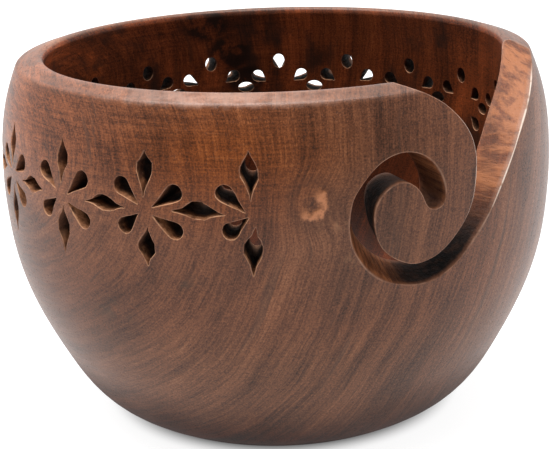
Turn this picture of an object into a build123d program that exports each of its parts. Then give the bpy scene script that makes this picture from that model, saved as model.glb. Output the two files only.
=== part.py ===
from build123d import *
import math
import os

os.makedirs("parts", exist_ok=True)

# Turned hardwood yarn bowl, millimetres, +Z up.
# Origin: centre of the flat base. Azimuth 0 is the side facing -Y and grows towards +X.

# ---- driving dimensions -------------------------------------------------
HEIGHT = 101.0            # base to the top of the rim
BASE_RADIUS = 44.0        # flat turned foot
FLOOR = 9.0               # wood left under the hollow
SEAM = 4.0                # azimuth where the turned surfaces close, in plain wood

# Outer wall, radius against height, from the foot to just under the rim.
OUTER = [
    (BASE_RADIUS, 0.0), (51.5, 4.5), (57.9, 11.1), (62.7, 19.0), (66.8, 27.0), (70.3, 35.0),
    (73.0, 43.2), (74.7, 51.4), (75.6, 59.7), (76.0, 67.8), (75.8, 75.9), (75.0, 83.9),
    (73.2, 91.7), (70.3, 99.5),
]
# Top of the rim, from the outer corner to the inner lip.
RIM = [(70.3, 99.5), (67.2, 100.4), (64.6, HEIGHT), (63.2, 100.6), (62.7, 99.3)]
# Inner wall, from the lip down to the centre of the floor.
INNER = [
    (62.7, 99.3), (63.3, 95.5), (64.1, 89.0), (65.0, 80.0), (65.3, 70.0), (65.0, 60.0),
    (63.6, 50.0), (61.0, 40.0), (57.0, 31.0), (51.0, 22.5), (42.0, 15.5), (30.0, 11.2),
    (15.0, 9.3), (0.0, FLOOR),
]
WALL_OUT = 75.8           # outer radius at the pierced band
WALL_AT_BAND = 10.6       # wall thickness where the band and the hook are cut

# Pierced band: eight-holed flowers, joined by lying diamonds.
BAND_Z = 74.8             # height of the flower centres
# Azimuths of the flowers, set out by hand from the half flower left of the hook, round the
# back, to the half flower right of it.
FLOWERS = [-4.7, -24.5, -44.7, -64.6, -84.1, -103.6, -123.1, -142.7, -162.2, -181.7, -201.4,
           -221.0, -240.7, -260.4]
# The first flowers have their own hand-cut shapes, mm from the flower's centre.
# Diamonds: top, right, bottom and left corners. Drops: tip, then centre of the bulb.
OWN_DIAMONDS = {
    (0, "top"): [(-0.4, 15.3), (2.0, 9.4), (0.0, 2.6), (-2.5, 10.2)],
    (0, "bottom"): [(1.0, -3.3), (2.5, -9.1), (0.0, -15.9), (-2.3, -8.4)],
    (1, "top"): [(-0.4, 14.3), (2.2, 10.1), (-0.5, 2.6), (-2.3, 10.0)],
    (1, "bottom"): [(0.5, -4.2), (2.2, -9.7), (-0.2, -14.5), (-2.7, -9.1)],
    (2, "top"): [(-0.4, 14.8), (2.7, 9.5), (0.0, 2.4), (-1.5, 9.1)],
    (2, "bottom"): [(0.6, -2.3), (2.7, -8.2), (-0.3, -15.3), (-2.1, -7.7)],
    (3, "top"): [(-0.8, 14.2), (1.8, 8.9), (-0.6, 1.9), (-2.4, 8.2)],
    (3, "bottom"): [(0.2, -2.4), (2.3, -8.2), (-1.2, -15.9), (-2.3, -9.6)],
}
OWN_LINKS = {
    0: [(-6.4, 0.0), (0.5, 2.9), (7.2, -0.5), (1.0, -1.7)],
    1: [(-4.9, 0.0), (1.0, 2.4), (7.9, -0.3), (2.2, -1.7)],
    2: [(-6.4, -0.2), (-0.4, 2.4), (5.4, -0.3), (-0.1, -1.9)],
}
OWN_DROPS = {
    (0, -1, 1): [(-1.3, 0.1), (-6.2, 4.7)], (0, -1, -1): [(-0.6, -1.1), (-4.9, -4.3)],
    (1, 1, 1): [(1.7, 0.5), (7.5, 4.3)], (1, 1, -1): [(1.8, -1.4), (7.5, -4.8)],
    (1, -1, 1): [(-1.9, 0.9), (-6.5, 5.2)], (1, -1, -1): [(-2.0, -1.3), (-5.7, -4.5)],
    (2, 1, 1): [(2.3, 0.5), (7.5, 5.0)], (2, 1, -1): [(2.4, -1.5), (8.0, -5.2)],
    (2, -1, 1): [(-2.0, 1.2), (-6.7, 5.4)], (2, -1, -1): [(-2.0, -1.2), (-6.0, -4.4)],
    (3, 1, 1): [(1.8, 1.2), (6.6, 4.4)], (3, 1, -1): [(2.2, -1.4), (6.6, -5.0)],
    (3, -1, 1): [(-1.9, 1.2), (-7.0, 4.6)], (3, -1, -1): [(-2.2, -1.1), (-7.2, -5.1)],
}
CUTTER_OUT = 80.0         # cutters start outside the wall
CUTTER_IN = 62.5          # and stop inside the bowl

# Hook slot. Each row: azimuth and height on the outside of the wall, then how far
# the cut has wandered (degrees, mm) by the time it comes out inside.
# The first run is the edge of the tongue and the disc, the second the edge of the bowl.
SLOT_HOOK_SIDE = [
    (19.0, 111.5, 0, 0), (22.5, 105.5, 0, 0), (25.6, 101.6, 0, 0), (28.3, 100.1, 0, 0),
    (31.4, 98.3, 0, 0), (34.9, 95.5, 0, 0), (37.8, 91.7, 0, 0), (39.7, 87.4, 0, 0),
    (40.4, 83.0, 0, 0), (40.4, 79.9, 0, 0), (39.9, 75.6, 0, 0), (38.9, 71.2, 0, 0.4),
    (37.2, 67.2, 0, 0.9), (34.9, 63.8, 0.2, 1.4), (32.3, 61.0, 0.5, 1.9), (29.2, 59.1, 0.8, 2.2),
    (25.5, 58.5, 1.2, 2.3), (22.1, 60.1, 1.6, 2.0), (19.4, 62.9, 1.8, 1.5), (17.9, 66.3, 1.8, 0.9),
    (17.35, 70.0, 1.6, 0.5), (17.55, 73.6, 1.1, 0.4), (18.65, 76.3, 0.6, 0.3),
    (20.3, 78.2, 0.4, 0.1), (22.3, 79.2, 0.4, 0), (24.2, 79.1, 0.4, 0), (25.9, 77.8, 0.4, 0),
    (27.2, 75.6, 0.2, 0), (27.9, 73.3, 0, 0),
]
SLOT_TIP = [(28.8, 71.9, 0, 0), (30.2, 71.5, 0, 0), (31.6, 72.3, 0, 0)]
SLOT_BOWL_SIDE = [
    (32.3, 74.3, 0, 0), (32.1, 77.3, 0, 0), (31.2, 80.3, 0, 0), (29.5, 83.3, 0, 0),
    (27.1, 85.4, 0, 0), (24.4, 86.2, 0, 0), (21.7, 85.8, 0, 0), (19.0, 84.3, 0, 0),
    (16.8, 82.0, 0, 0), (14.8, 79.0, 0.3, 0), (13.6, 76.3, 1.0, 0), (13.0, 72.8, 2.0, 0),
    (12.8, 69.4, 2.4, 0.2), (13.3, 65.2, 2.7, 0.7), (14.5, 61.9, 2.8, 1.5), (16.1, 58.9, 2.8, 2.3),
    (18.6, 56.1, 2.6, 2.8), (22.0, 54.1, 2.2, 3.0), (26.3, 53.0, 1.6, 3.0), (30.3, 53.4, 1.1, 2.8),
    (33.6, 55.1, 0.7, 2.6), (36.7, 57.8, 0.4, 2.0), (39.0, 60.6, 0.2, 1.4), (41.5, 63.8, 0, 0.9),
    (43.9, 67.3, 0, 0.4), (46.4, 71.4, 0, 0), (48.9, 75.3, 0, 0), (52.2, 80.0, 0, 0),
    (56.0, 84.8, 0, 0), (60.4, 88.8, 0, 0), (65.0, 92.2, 0, 0), (71.0, 95.8, 0, 0),
    (78.0, 98.9, 0, 0), (86.0, 101.6, 0, 0), (93.0, 105.5, 0, 0), (97.0, 111.5, 0, 0),
]
SLOT_FACING = 52.0        # azimuth the slot cutter faces
SLOT_OUT = 88.0           # its outer face, from the axis
SLOT_IN = 46.0            # its inner face


# ---- helpers ------------------------------------------------------------
def wall_radius(z):
    """Outer radius at a height, straight between the profile points."""
    if z <= OUTER[0][1]:
        return OUTER[0][0]
    for (r0, z0), (r1, z1) in zip(OUTER, OUTER[1:]):
        if z <= z1:
            return r0 + (r1 - r0) * (z - z0) / (z1 - z0)
    return OUTER[-1][0]


def facing_plane(azimuth, distance, height=0.0):
    """Upright plane at a distance from the axis, facing outwards at an azimuth."""
    a = math.radians(azimuth)
    return Plane(
        origin=(distance * math.sin(a), -distance * math.cos(a), height),
        x_dir=(math.cos(a), math.sin(a), 0),
        z_dir=(math.sin(a), -math.cos(a), 0),
    )


def slot_on_plane(row, distance):
    """Where the saw line through one slot row crosses the plane at a distance."""
    az, z, turn, rise = row
    r_out = wall_radius(z)
    r_in = r_out - WALL_AT_BAND
    a0 = math.radians(az - SLOT_FACING)
    a1 = math.radians(az + turn - SLOT_FACING)
    p0 = (r_out * math.sin(a0), r_out * math.cos(a0), z)
    p1 = (r_in * math.sin(a1), r_in * math.cos(a1), z + rise)
    t = (distance - p0[1]) / (p1[1] - p0[1])
    return (p0[0] + (p1[0] - p0[0]) * t, p0[2] + (p1[2] - p0[2]) * t)


def smooth(rows, steps):
    """Rows along a curve through all the given rows, with steps spans between each two."""
    out = []
    for i in range(len(rows) - 1):
        p0, p1, p2, p3 = rows[max(i - 1, 0)], rows[i], rows[i + 1], rows[min(i + 2, len(rows) - 1)]
        for k in range(steps):
            t = k / steps
            out.append(tuple(
                0.5 * (2 * b + (c - a) * t + (2 * a - 5 * b + 4 * c - d) * t ** 2
                       + (3 * b - a - 3 * c + d) * t ** 3)
                for a, b, c, d in zip(p0, p1, p2, p3)))
    out.append(rows[-1])
    return out


def hand(seed):
    """Small repeatable hand-cut variation, between -1 and 1."""
    v = math.sin(seed * 12.9898 + 4.1) * 43758.5453
    return 2.0 * (v - math.floor(v)) - 1.0


def kite(seed, centre, up, down, half):
    """Corners of a carved diamond: top, right, bottom, left."""
    x, y = centre
    up += 0.7 * hand(seed)
    down += 0.6 * hand(seed + 0.3)
    half += 0.18 * hand(seed + 0.6)
    lean = 0.35 * hand(seed + 0.8)
    outer = [(x + lean, y + up), (x + half, y + 0.3 * hand(seed + 1.1)), (x - lean, y - down),
             (x - half, y + 0.3 * hand(seed + 1.4))]
    return outer


def lying_kite(seed, centre, reach, up, down):
    """Corners of a lying diamond: left, top, right, bottom."""
    x, y = centre
    left = reach + 0.5 * hand(seed)
    right = reach + 0.5 * hand(seed + 0.3)
    up += 0.25 * hand(seed + 0.6)
    down += 0.2 * hand(seed + 0.8)
    lean = 0.4 * hand(seed + 1.0)
    outer = [(x - left, y + lean), (x + 0.4 * hand(seed + 1.2), y + up), (x + right, y - lean),
             (x + 0.4 * hand(seed + 1.5), y - down)]
    return outer


def inside_of(outer, across, up, down):
    """The smaller four-cornered hole a tapering cut leaves on the inside of the wall."""
    x = (min(p[0] for p in outer) + max(p[0] for p in outer)) / 2
    if across > up:
        y = (outer[1][1] + outer[3][1]) / 2
        return [(x - across, y), (x, y + up), (x + across, y), (x, y - down)]
    y = (outer[1][1] + outer[3][1]) / 2
    return [(x, y + up), (x + across, y), (x, y - down), (x - across, y)]


def depth_share(distance):
    """0 at the inner face of the wall at the band, 1 at its outer face."""
    return (distance - (WALL_OUT - WALL_AT_BAND)) / WALL_AT_BAND


def stretch(outer, inner, distance):
    """Carry a tapering cut out to a plane beyond the wall on either side."""
    f = depth_share(distance)
    return [(b[0] + (a[0] - b[0]) * f, b[1] + (a[1] - b[1]) * f) for a, b in zip(outer, inner)]


def drop_outline(tip, bulb, radius):
    """A teardrop: a pointed tip, two straight flanks and a round bulb."""
    dx, dy = bulb[0] - tip[0], bulb[1] - tip[1]
    d = math.hypot(dx, dy)
    ux, uy = dx / d, dy / d
    s = radius / d
    c = math.sqrt(1 - s * s)
    t1 = (bulb[0] + radius * (-ux * s - uy * c), bulb[1] + radius * (-uy * s + ux * c))
    t2 = (bulb[0] + radius * (-ux * s + uy * c), bulb[1] + radius * (-uy * s - ux * c))
    far = (bulb[0] + radius * ux, bulb[1] + radius * uy)
    return tip, t1, far, t2


cutters = []


def cut_kite(azimuth, outer, inner):
    with BuildPart(mode=Mode.PRIVATE) as cutter:
        for distance in (CUTTER_OUT, CUTTER_IN):
            with BuildSketch(facing_plane(azimuth, distance, BAND_Z)):
                with BuildLine():
                    Polyline(*stretch(outer, inner, distance), close=True)
                make_face()
        loft(ruled=True)
    cutters.append(cutter.part)


def cut_drop(azimuth, seed, number, side, rise):
    """side and rise give the quarter the drop points into: -1 or 1 each."""
    radius = 2.2 + 0.15 * hand(seed + 0.4)
    tip = (side * (1.9 + 0.25 * hand(seed + 0.6)), rise * (0.9 + 0.3 * hand(seed + 0.8)))
    bulb = (side * (7.1 + 0.4 * hand(seed)), rise * (4.6 + 0.35 * hand(seed + 0.2)))
    if (number, side, rise) in OWN_DROPS:
        tip, bulb = OWN_DROPS[(number, side, rise)]
    # inside, only the round of the bulb is left
    inner_tip = (bulb[0] + (tip[0] - bulb[0]) * 0.52, bulb[1] + (tip[1] - bulb[1]) * 0.52)
    with BuildPart(mode=Mode.PRIVATE) as cutter:
        for distance in (CUTTER_OUT, CUTTER_IN):
            f = depth_share(distance)
            t = (inner_tip[0] + (tip[0] - inner_tip[0]) * f, inner_tip[1] + (tip[1] - inner_tip[1]) * f)
            point, t1, far, t2 = drop_outline(t, bulb, 1.9 + (radius - 1.9) * f)
            with BuildSketch(facing_plane(azimuth, distance, BAND_Z)):
                with BuildLine():
                    Line(point, t1)
                    ThreePointArc(t1, far, t2)
                    Line(t2, point)
                make_face()
        loft(ruled=True)
    cutters.append(cutter.part)


# ---- the bowl -----------------------------------------------------------
for number, az in enumerate(FLOWERS):
    seed = 10.0 * (number + 1)
    sides = (-1, 1)
    if number == 0:
        sides = (-1,)
    if number == len(FLOWERS) - 1:
        sides = (1,)
    top = OWN_DIAMONDS.get((number, "top")) or kite(seed, (0, 9.2), 5.6, 6.4, 2.15)
    bottom = OWN_DIAMONDS.get((number, "bottom")) or kite(seed + 2, (0, -9.0), 5.8, 6.0, 2.3)
    cut_kite(az, top, inside_of(top, 1.9, 2.3, 2.6))
    cut_kite(az, bottom, inside_of(bottom, 1.9, 2.3, 2.6))
    for side in sides:
        cut_drop(az, seed + 4 + side, number, side, 1)
        cut_drop(az, seed + 7 + side, number, side, -1)
    if number + 1 < len(FLOWERS):
        link = OWN_LINKS.get(number) or lying_kite(seed + 9, (0, 0.3), 6.7, 2.5, 1.9)
        cut_kite((az + FLOWERS[number + 1]) / 2, link, inside_of(link, 2.6, 1.7, 1.6))

slot_rows = smooth(SLOT_HOOK_SIDE + SLOT_TIP + SLOT_BOWL_SIDE, 2)
with BuildPart() as slot_cutter:
    for distance in (SLOT_OUT, SLOT_IN):
        with BuildSketch(facing_plane(SLOT_FACING, distance)):
            with BuildLine():
                Polyline(*[slot_on_plane(row, distance) for row in slot_rows], close=True)
            make_face()
    loft(ruled=True)

seam = math.radians(SEAM)
section_plane = Plane(
    origin=(0, 0, 0),
    x_dir=(math.sin(seam), -math.cos(seam), 0),
    z_dir=(-math.cos(seam), -math.sin(seam), 0),
)
with BuildPart() as bowl:
    with BuildSketch(section_plane):
        with BuildLine():
            Line((0, 0), OUTER[0])
            Spline(*OUTER)
            Spline(*RIM)
            Spline(*INNER, tangents=[(0.15, -1), (-1, 0)])
            Line(INNER[-1], (0, 0))
        make_face()
    revolve(axis=Axis.Z)
    add(slot_cutter.part, mode=Mode.SUBTRACT)
    add(cutters, mode=Mode.SUBTRACT)

bowl.part.label = "bowl"
export_step(bowl.part, "parts/bowl.step")
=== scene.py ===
import math

import bpy
import numpy as np
from mathutils import Matrix, Vector, geometry


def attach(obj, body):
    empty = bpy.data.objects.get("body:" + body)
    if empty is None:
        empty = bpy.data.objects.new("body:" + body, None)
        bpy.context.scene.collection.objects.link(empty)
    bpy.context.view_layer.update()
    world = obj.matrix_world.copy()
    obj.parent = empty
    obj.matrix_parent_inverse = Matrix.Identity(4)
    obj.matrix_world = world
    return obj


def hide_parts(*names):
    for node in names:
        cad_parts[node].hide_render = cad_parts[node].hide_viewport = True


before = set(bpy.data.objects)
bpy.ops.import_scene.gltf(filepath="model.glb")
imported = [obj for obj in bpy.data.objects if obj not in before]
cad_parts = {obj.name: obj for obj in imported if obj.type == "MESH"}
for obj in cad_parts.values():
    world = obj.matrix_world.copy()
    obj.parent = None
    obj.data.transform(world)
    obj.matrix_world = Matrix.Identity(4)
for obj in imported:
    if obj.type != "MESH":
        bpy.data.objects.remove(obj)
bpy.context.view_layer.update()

# =====================================================================================
# The bowl's numbers, millimetres, the same as the CAD part's.
# Azimuth 0 faces -Y and grows towards +X.
# =====================================================================================
FLOOR = 9.0
OUTER = [
    (44.0, 0.0), (51.5, 4.5), (57.9, 11.1), (62.7, 19.0), (66.8, 27.0), (70.3, 35.0),
    (73.0, 43.2), (74.7, 51.4), (75.6, 59.7), (76.0, 67.8), (75.8, 75.9), (75.0, 83.9),
    (73.2, 91.7), (70.3, 99.5),
]
RIM = [(70.3, 99.5), (67.2, 100.4), (64.6, 101.0), (63.2, 100.6), (62.7, 99.3)]
INNER = [
    (62.7, 99.3), (63.3, 95.5), (64.1, 89.0), (65.0, 80.0), (65.3, 70.0), (65.0, 60.0),
    (63.6, 50.0), (61.0, 40.0), (57.0, 31.0), (51.0, 22.5), (42.0, 15.5), (30.0, 11.2),
    (15.0, 9.3), (0.0, FLOOR),
]
WALL_OUT = 75.8
WALL_AT_BAND = 10.6
BAND_Z = 74.8
FLOWERS = [-4.7, -24.5, -44.7, -64.6, -84.1, -103.6, -123.1, -142.7, -162.2, -181.7, -201.4,
           -221.0, -240.7, -260.4]
OWN_DIAMONDS = {
    (0, "top"): [(-0.4, 15.3), (2.0, 9.4), (0.0, 2.6), (-2.5, 10.2)],
    (0, "bottom"): [(1.0, -3.3), (2.5, -9.1), (0.0, -15.9), (-2.3, -8.4)],
    (1, "top"): [(-0.4, 14.3), (2.2, 10.1), (-0.5, 2.6), (-2.3, 10.0)],
    (1, "bottom"): [(0.5, -4.2), (2.2, -9.7), (-0.2, -14.5), (-2.7, -9.1)],
    (2, "top"): [(-0.4, 14.8), (2.7, 9.5), (0.0, 2.4), (-1.5, 9.1)],
    (2, "bottom"): [(0.6, -2.3), (2.7, -8.2), (-0.3, -15.3), (-2.1, -7.7)],
    (3, "top"): [(-0.8, 14.2), (1.8, 8.9), (-0.6, 1.9), (-2.4, 8.2)],
    (3, "bottom"): [(0.2, -2.4), (2.3, -8.2), (-1.2, -15.9), (-2.3, -9.6)],
}
OWN_LINKS = {
    0: [(-6.4, 0.0), (0.5, 2.9), (7.2, -0.5), (1.0, -1.7)],
    1: [(-4.9, 0.0), (1.0, 2.4), (7.9, -0.3), (2.2, -1.7)],
    2: [(-6.4, -0.2), (-0.4, 2.4), (5.4, -0.3), (-0.1, -1.9)],
}
OWN_DROPS = {
    (0, -1, 1): [(-1.3, 0.1), (-6.2, 4.7)], (0, -1, -1): [(-0.6, -1.1), (-4.9, -4.3)],
    (1, 1, 1): [(1.7, 0.5), (7.5, 4.3)], (1, 1, -1): [(1.8, -1.4), (7.5, -4.8)],
    (1, -1, 1): [(-1.9, 0.9), (-6.5, 5.2)], (1, -1, -1): [(-2.0, -1.3), (-5.7, -4.5)],
    (2, 1, 1): [(2.3, 0.5), (7.5, 5.0)], (2, 1, -1): [(2.4, -1.5), (8.0, -5.2)],
    (2, -1, 1): [(-2.0, 1.2), (-6.7, 5.4)], (2, -1, -1): [(-2.0, -1.2), (-6.0, -4.4)],
    (3, 1, 1): [(1.8, 1.2), (6.6, 4.4)], (3, 1, -1): [(2.2, -1.4), (6.6, -5.0)],
    (3, -1, 1): [(-1.9, 1.2), (-7.0, 4.6)], (3, -1, -1): [(-2.2, -1.1), (-7.2, -5.1)],
}
CUTTER_OUT = 80.0
CUTTER_IN = 62.5
SLOT_HOOK_SIDE = [
    (19.0, 111.5, 0, 0), (22.5, 105.5, 0, 0), (25.6, 101.6, 0, 0), (28.3, 100.1, 0, 0),
    (31.4, 98.3, 0, 0), (34.9, 95.5, 0, 0), (37.8, 91.7, 0, 0), (39.7, 87.4, 0, 0),
    (40.4, 83.0, 0, 0), (40.4, 79.9, 0, 0), (39.9, 75.6, 0, 0), (38.9, 71.2, 0, 0.4),
    (37.2, 67.2, 0, 0.9), (34.9, 63.8, 0.2, 1.4), (32.3, 61.0, 0.5, 1.9), (29.2, 59.1, 0.8, 2.2),
    (25.5, 58.5, 1.2, 2.3), (22.1, 60.1, 1.6, 2.0), (19.4, 62.9, 1.8, 1.5), (17.9, 66.3, 1.8, 0.9),
    (17.35, 70.0, 1.6, 0.5), (17.55, 73.6, 1.1, 0.4), (18.65, 76.3, 0.6, 0.3),
    (20.3, 78.2, 0.4, 0.1), (22.3, 79.2, 0.4, 0), (24.2, 79.1, 0.4, 0), (25.9, 77.8, 0.4, 0),
    (27.2, 75.6, 0.2, 0), (27.9, 73.3, 0, 0),
]
SLOT_TIP = [(28.8, 71.9, 0, 0), (30.2, 71.5, 0, 0), (31.6, 72.3, 0, 0)]
SLOT_BOWL_SIDE = [
    (32.3, 74.3, 0, 0), (32.1, 77.3, 0, 0), (31.2, 80.3, 0, 0), (29.5, 83.3, 0, 0),
    (27.1, 85.4, 0, 0), (24.4, 86.2, 0, 0), (21.7, 85.8, 0, 0), (19.0, 84.3, 0, 0),
    (16.8, 82.0, 0, 0), (14.8, 79.0, 0.3, 0), (13.6, 76.3, 1.0, 0), (13.0, 72.8, 2.0, 0),
    (12.8, 69.4, 2.4, 0.2), (13.3, 65.2, 2.7, 0.7), (14.5, 61.9, 2.8, 1.5), (16.1, 58.9, 2.8, 2.3),
    (18.6, 56.1, 2.6, 2.8), (22.0, 54.1, 2.2, 3.0), (26.3, 53.0, 1.6, 3.0), (30.3, 53.4, 1.1, 2.8),
    (33.6, 55.1, 0.7, 2.6), (36.7, 57.8, 0.4, 2.0), (39.0, 60.6, 0.2, 1.4), (41.5, 63.8, 0, 0.9),
    (43.9, 67.3, 0, 0.4), (46.4, 71.4, 0, 0), (48.9, 75.3, 0, 0), (52.2, 80.0, 0, 0),
    (56.0, 84.8, 0, 0), (60.4, 88.8, 0, 0), (65.0, 92.2, 0, 0), (71.0, 95.8, 0, 0),
    (78.0, 98.9, 0, 0), (86.0, 101.6, 0, 0), (93.0, 105.5, 0, 0), (97.0, 111.5, 0, 0),
]
SLOT_FACING = 52.0
SLOT_OUT = 88.0
SLOT_IN = 46.0


def hand(seed):
    v = math.sin(seed * 12.9898 + 4.1) * 43758.5453
    return 2.0 * (v - math.floor(v)) - 1.0


# =====================================================================================
# Camera and stage
# =====================================================================================
scene = bpy.context.scene
scene.view_settings.view_transform = "Standard"
scene.view_settings.look = "None"
scene.view_settings.exposure = 0.0
scene.view_settings.gamma = 1.0


def make_camera():
    focal, back, height = 1469.739, 0.4031457, 0.101 + 0.0720865
    yaw, pitch, roll = -0.0023, 0.2995, -0.0337
    cp, sp = math.cos(pitch), math.sin(pitch)
    forward = Vector((math.sin(yaw) * cp, math.cos(yaw) * cp, -sp))
    right = Vector((math.cos(yaw), -math.sin(yaw), 0))
    up = right.cross(forward)
    r2 = right * math.cos(roll) + up * math.sin(roll)
    u2 = right * -math.sin(roll) + up * math.cos(roll)
    data = bpy.data.cameras.new("camera")
    data.sensor_width = 36.0
    data.lens = 36.0 * focal / 550.0
    data.clip_start, data.clip_end = 0.01, 50.0
    cam = bpy.data.objects.new("camera", data)
    m = Matrix((
        (r2.x, u2.x, -forward.x, 0.0),
        (r2.y, u2.y, -forward.y, -back),
        (r2.z, u2.z, -forward.z, height),
        (0, 0, 0, 1),
    ))
    cam.matrix_world = m
    scene.collection.objects.link(cam)
    scene.camera = cam


make_camera()


# =====================================================================================
# The turned profile: base centre, foot, outer wall, rim, inner wall, floor centre
# =====================================================================================
def spline(points, per_mm=4.0, start=None, end=None):
    """Points along a cubic curve through the given points, chord-length parameter."""
    p = np.array(points, float)
    n = len(p)
    t = np.concatenate([[0.0], np.cumsum(np.hypot(*np.diff(p, axis=0).T))])
    h = np.diff(t)
    a = np.zeros((n, n))
    b = np.zeros((n, 2))
    for i in range(1, n - 1):
        a[i, i - 1], a[i, i], a[i, i + 1] = h[i - 1], 2 * (h[i - 1] + h[i]), h[i]
        b[i] = 6 * ((p[i + 1] - p[i]) / h[i] - (p[i] - p[i - 1]) / h[i - 1])
    if start is None:
        a[0, 0] = 1.0
    else:
        d = np.array(start, float)
        d /= np.hypot(*d)
        a[0, 0], a[0, 1] = 2 * h[0], h[0]
        b[0] = 6 * ((p[1] - p[0]) / h[0] - d)
    if end is None:
        a[-1, -1] = 1.0
    else:
        d = np.array(end, float)
        d /= np.hypot(*d)
        a[-1, -1], a[-1, -2] = 2 * h[-1], h[-1]
        b[-1] = 6 * (d - (p[-1] - p[-2]) / h[-1])
    m = np.linalg.solve(a, b)
    out = []
    for i in range(n - 1):
        k = max(2, int(h[i] * per_mm))
        for j in range(k):
            x = h[i] * j / k
            y = h[i] - x
            out.append(
                m[i] * y ** 3 / (6 * h[i]) + m[i + 1] * x ** 3 / (6 * h[i])
                + (p[i] / h[i] - m[i] * h[i] / 6) * y + (p[i + 1] / h[i] - m[i + 1] * h[i] / 6) * x)
    out.append(p[-1])
    return np.array(out)


def rounded_corner(a, b, reach, steps=7):
    """Joins two point runs that meet at a corner, with the corner eased over a reach."""
    corner = a[-1]
    da = np.hypot(*(a - corner).T)
    db = np.hypot(*(b - corner).T)
    a2 = a[da > reach]
    b2 = b[db > reach]
    pa = corner + (a2[-1] - corner) / np.hypot(*(a2[-1] - corner)) * reach
    pb = corner + (b2[0] - corner) / np.hypot(*(b2[0] - corner)) * reach
    t = np.linspace(0, 1, steps)[:, None]
    arc = (1 - t) ** 2 * pa + 2 * t * (1 - t) * corner + t ** 2 * pb
    return np.vstack([a2, arc, b2])


outer_run = spline(OUTER)
rim_run = spline(RIM, 10.0)
inner_run = spline(INNER, 4.0, (0.15, -1), (-1, 0))
base_run = np.array([(x, 0.0) for x in np.linspace(0, 44.0, 60)])
profile = rounded_corner(base_run, outer_run, 0.9)
profile = rounded_corner(profile, rim_run, 0.8)
profile = np.vstack([profile[:-1], inner_run])
keep = np.concatenate([[True], np.hypot(*np.diff(profile, axis=0).T) > 1e-4])
profile = profile[keep]
PS = np.concatenate([[0.0], np.cumsum(np.hypot(*np.diff(profile, axis=0).T))])
PR, PZ = profile[:, 0], profile[:, 1]
TR, TZ = np.gradient(PR, PS), np.gradient(PZ, PS)
# outward normals: the solid is on the left of the run
_nl = np.hypot(TR, TZ)
NR, NZ = TZ / _nl, -TR / _nl
S_TOP = PS[np.argmax(PZ)]
S_MAX = PS[-1]


def on_profile(s):
    return np.interp(s, PS, PR), np.interp(s, PS, PZ)


def place(theta, s):
    """Surface point for an azimuth in radians and a run along the profile."""
    r, z = on_profile(s)
    return np.stack([r * np.sin(theta), -r * np.cos(theta), z], -1)


def surface_normal(theta, s):
    nr, nz = np.interp(s, PS, NR), np.interp(s, PS, NZ)
    l = np.hypot(nr, nz)
    return np.stack([nr * np.sin(theta) / l, -nr * np.cos(theta) / l, nz / l], -1)


_o = (PS > 45.5) & (PS < S_TOP) & (PZ < 99.5)
OZ, OR = PZ[_o], PR[_o]
_i = (PS > S_TOP) & (PZ < 99.6)
IZ, IR = PZ[_i][::-1], PR[_i][::-1]
_m = (PR >= 62.7) & (PR <= 70.6) & (PZ >= 98.0)
_order = np.argsort(PR[_m])
MR, MZ = PR[_m][_order], PZ[_m][_order]
_rim_r = spline(RIM, 10.0)
_rim_order = np.argsort(_rim_r[:, 0])
RIM_R, RIM_Z = _rim_r[_rim_order, 0], _rim_r[_rim_order, 1]


def outside_by(p):
    """Below zero inside the wall of the uncut bowl, above zero outside it."""
    r = np.hypot(p[..., 0], p[..., 1])
    z = p[..., 2]
    g1 = r - np.interp(z, OZ, OR)
    g2 = np.interp(z, IZ, IR) - r
    g3 = z - np.interp(r, RIM_R, RIM_Z)
    return np.maximum(np.maximum(g1, g2), g3)


def wall_hits(a, b, n=260):
    """Where the lines a to b enter and leave the wall. Rows of lam_out, lam_in, and a mask of lines that cross."""
    lam = np.linspace(0, 1, n)
    p = a[:, None] + (b - a)[:, None] * lam[None, :, None]
    g = outside_by(p)
    inside = g < 0
    ok = inside.any(1)
    first = np.argmax(inside, 1)
    last = n - 1 - np.argmax(inside[:, ::-1], 1)

    def refine(lo, hi):  # lo is inside, hi outside
        for _ in range(32):
            mid = (lo + hi) / 2
            q = a + (b - a) * mid[:, None]
            ins = outside_by(q) < 0
            lo = np.where(ins, mid, lo)
            hi = np.where(ins, hi, mid)
        return lo

    out = refine(lam[first], lam[np.maximum(first - 1, 0)])
    inn = refine(lam[last], lam[np.minimum(last + 1, n - 1)])
    return out, inn, ok


def to_domain(p, inner=None):
    """Azimuth and profile run of points on the surface."""
    theta = np.arctan2(p[:, 0], -p[:, 1])
    r, z = np.hypot(p[:, 0], p[:, 1]), p[:, 2]
    d = (PR[None] - r[:, None]) ** 2 + (PZ[None] - z[:, None]) ** 2
    d = np.where(PS[None] < 46.0, 1e9, d)
    if inner is not None:
        d = np.where((PS[None] > S_TOP) != inner, 1e9, d)
    k = np.argmin(d, 1)
    k0 = np.clip(k, 1, len(PS) - 2)
    best = PS[k].copy()
    bd = d[np.arange(len(k)), k]
    for j in (k0 - 1, k0):
        ax, az_, bx, bz = PR[j], PZ[j], PR[j + 1], PZ[j + 1]
        l2 = (bx - ax) ** 2 + (bz - az_) ** 2
        t = np.clip(((r - ax) * (bx - ax) + (z - az_) * (bz - az_)) / l2, 0, 1)
        dd = (ax + t * (bx - ax) - r) ** 2 + (az_ + t * (bz - az_) - z) ** 2
        better = dd < bd
        best = np.where(better, PS[j] + t * (PS[j + 1] - PS[j]), best)
        bd = np.where(better, dd, bd)
    return theta, best


# =====================================================================================
# Outlines of the cuts: each is a set of saw lines, from outside the wall to inside it
# =====================================================================================
def kite(seed, centre, up, down, half):
    x, y = centre
    up += 0.7 * hand(seed)
    down += 0.6 * hand(seed + 0.3)
    half += 0.18 * hand(seed + 0.6)
    lean = 0.35 * hand(seed + 0.8)
    return [(x + lean, y + up), (x + half, y + 0.3 * hand(seed + 1.1)), (x - lean, y - down),
            (x - half, y + 0.3 * hand(seed + 1.4))]


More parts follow.
